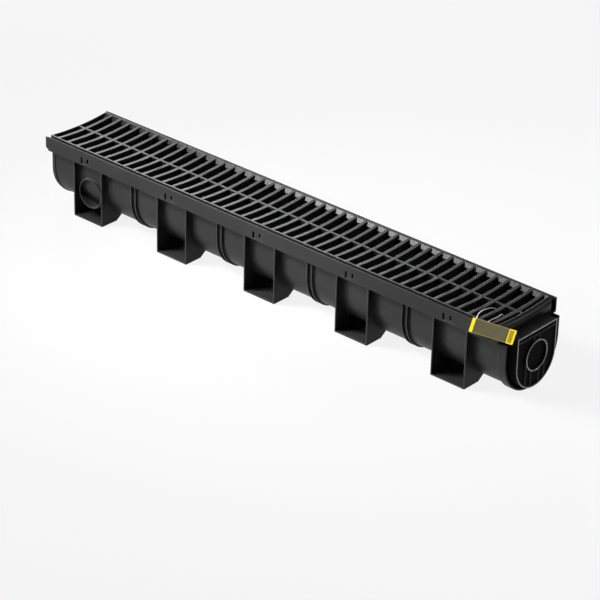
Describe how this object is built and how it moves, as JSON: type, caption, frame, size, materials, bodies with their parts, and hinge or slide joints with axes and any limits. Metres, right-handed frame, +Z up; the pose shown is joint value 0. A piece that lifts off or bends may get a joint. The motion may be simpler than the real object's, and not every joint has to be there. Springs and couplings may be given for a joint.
{
  "type": "channel drain",
  "caption": "Straight drainage channel with a dished slotted grate, cross-plate feet, a closed end cap with a pipe ring and a hang tag.",
  "frame": {"origin": "bedding level under the middle of the rim's plain left end, where one channel meets the next", "axes": "+X along the channel towards the end cap, +Y across it towards the back, +Z up; the pictured front faces -Y"},
  "size_m": [1.0389, 0.1615, 0.1394],
  "materials": {
    "channel_plastic": "moulded black plastic, satin",
    "grate_plastic": "moulded black plastic, satin, slightly dusty on top",
    "cap_plastic": "moulded black plastic, satin",
    "tag_card": "printed plastic card, yellow with a bare smoky field",
    "loop_nylon": "moulded white nylon"
  },
  "bodies": {
    "root": {"channel_body": "channel_plastic", "grate": "grate_plastic", "end_cap": "cap_plastic", "hang_tag": "tag_card", "tag_loop": "loop_nylon"}
  },
  "joints": []
}
